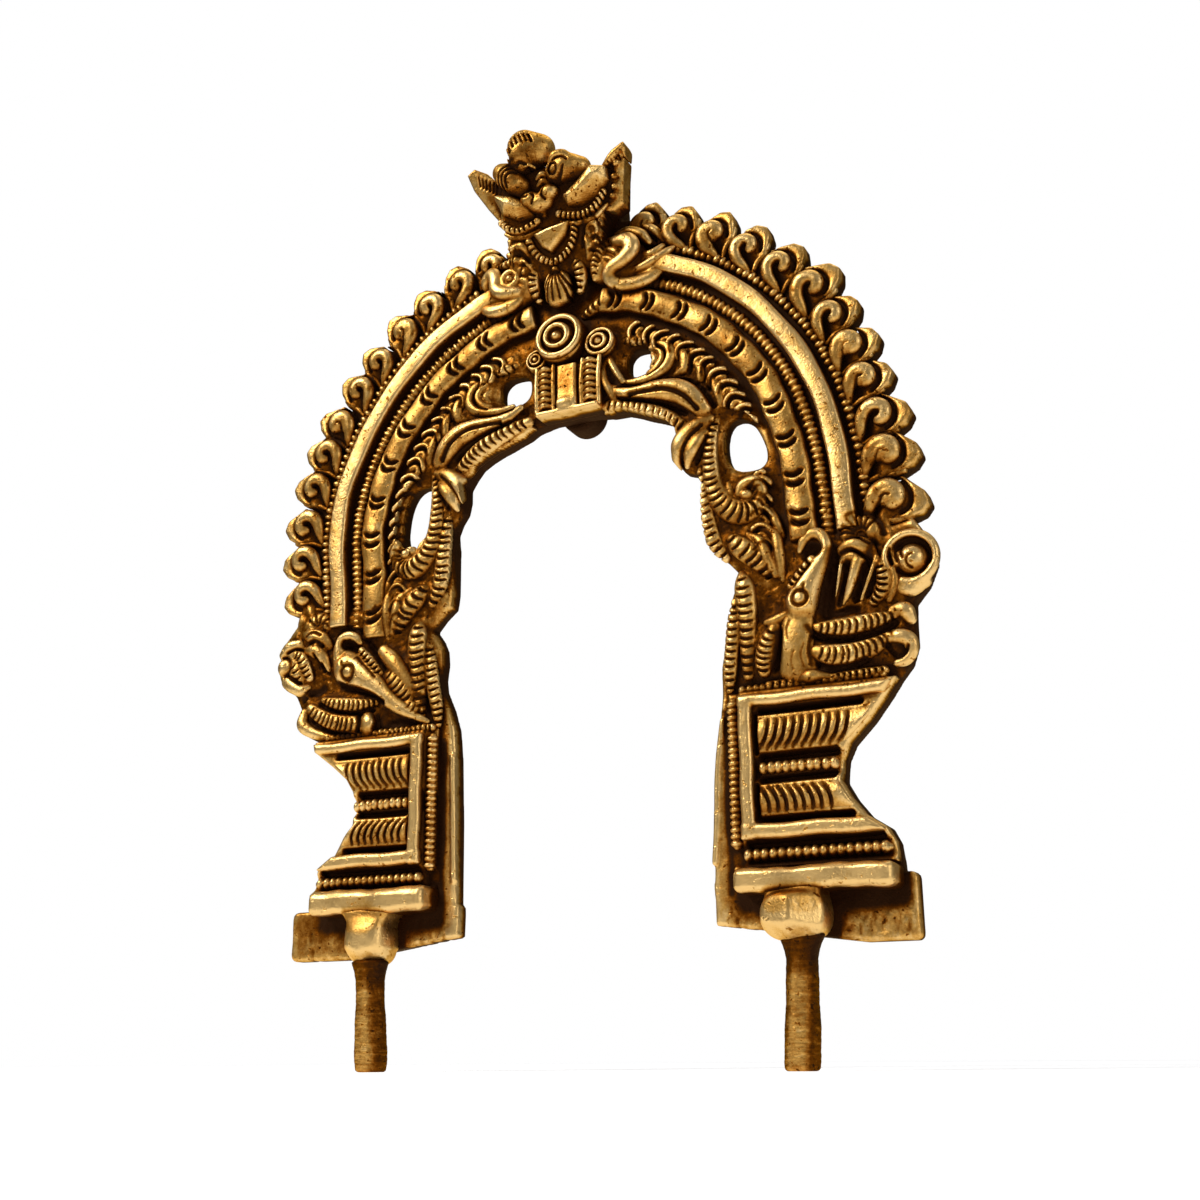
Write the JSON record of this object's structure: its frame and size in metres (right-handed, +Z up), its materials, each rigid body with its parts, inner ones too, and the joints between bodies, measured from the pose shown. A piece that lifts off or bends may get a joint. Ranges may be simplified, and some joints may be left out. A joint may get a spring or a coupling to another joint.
{
  "type": "prabhavali arch",
  "caption": "Cast brass prabhavali arch with flame edge, beaded ribbons, pierced scrolls, lion mask and bird pedestals, on pegs that plug into a base behind a figure.",
  "frame": {"origin": "midway between the two peg axes, on the seat plane under the feet", "axes": "+X to the right seen from the front, +Y to the back of the plate, +Z up; the relief faces -Y and the pegs point along -Z"},
  "size_m": [0.101, 0.0173, 0.133],
  "materials": {
    "plate_brass": "dark patina in the recesses of a cast surface",
    "aged_brass": "aged cast brass, rubbed on the high spots",
    "polished_brass": "hand-polished high relief with fine file marks"
  },
  "bodies": {
    "root": {"back_plate": "plate_brass", "rear_lug": "plate_brass", "band_left": "polished_brass", "band_right": "polished_brass", "outer_beads_left": "aged_brass", "outer_beads_right": "aged_brass", "inner_beads_left": "aged_brass", "inner_beads_right": "aged_brass", "ringed_rod_left": "polished_brass", "ringed_rod_right": "polished_brass", "vine_cord_left": "aged_brass", "vine_cord_right": "aged_brass", "flames_left": "polished_brass", "flames_right": "polished_brass", "keystone_block": "aged_brass", "keystone_columns": "aged_brass", "rosette_centre": "polished_brass", "rosettes_side": "polished_brass", "scroll_leaf_left": "aged_brass", "scroll_leaf_right": "aged_brass", "volute_left": "aged_brass", "volute_right": "aged_brass", "rib_strips_left": "aged_brass", "rib_strips_right": "aged_brass", "mask_core": "plate_brass", "mask_crest": "aged_brass", "mask_eyes": "polished_brass", "mask_ears": "aged_brass", "mask_cheeks": "polished_brass", "mask_nose": "polished_brass", "mask_tongue": "polished_brass", "mask_beads": "aged_brass", "mask_beard": "aged_brass", "makara_left": "polished_brass", "makara_right": "polished_brass", "bird_head_left": "polished_brass", "bird_head_right": "polished_brass", "bird_plumes_left": "aged_brass", "bird_plumes_right": "aged_brass", "bird_tail_left": "polished_brass", "bird_tail_right": "polished_brass", "bird_feathers_left": "aged_brass", "bird_feathers_right": "aged_brass", "ped_block_left": "aged_brass", "ped_block_right": "aged_brass", "ped_rail_left": "polished_brass", "ped_rail_right": "polished_brass", "ped_flutes_left": "aged_brass", "ped_flutes_right": "aged_brass", "ped_beads_left": "aged_brass", "ped_beads_right": "aged_brass", "base_slab_left": "polished_brass", "base_slab_right": "polished_brass", "peg_boss_left": "polished_brass", "peg_boss_right": "polished_brass", "peg_left": "aged_brass", "peg_right": "aged_brass"}
  },
  "joints": []
}
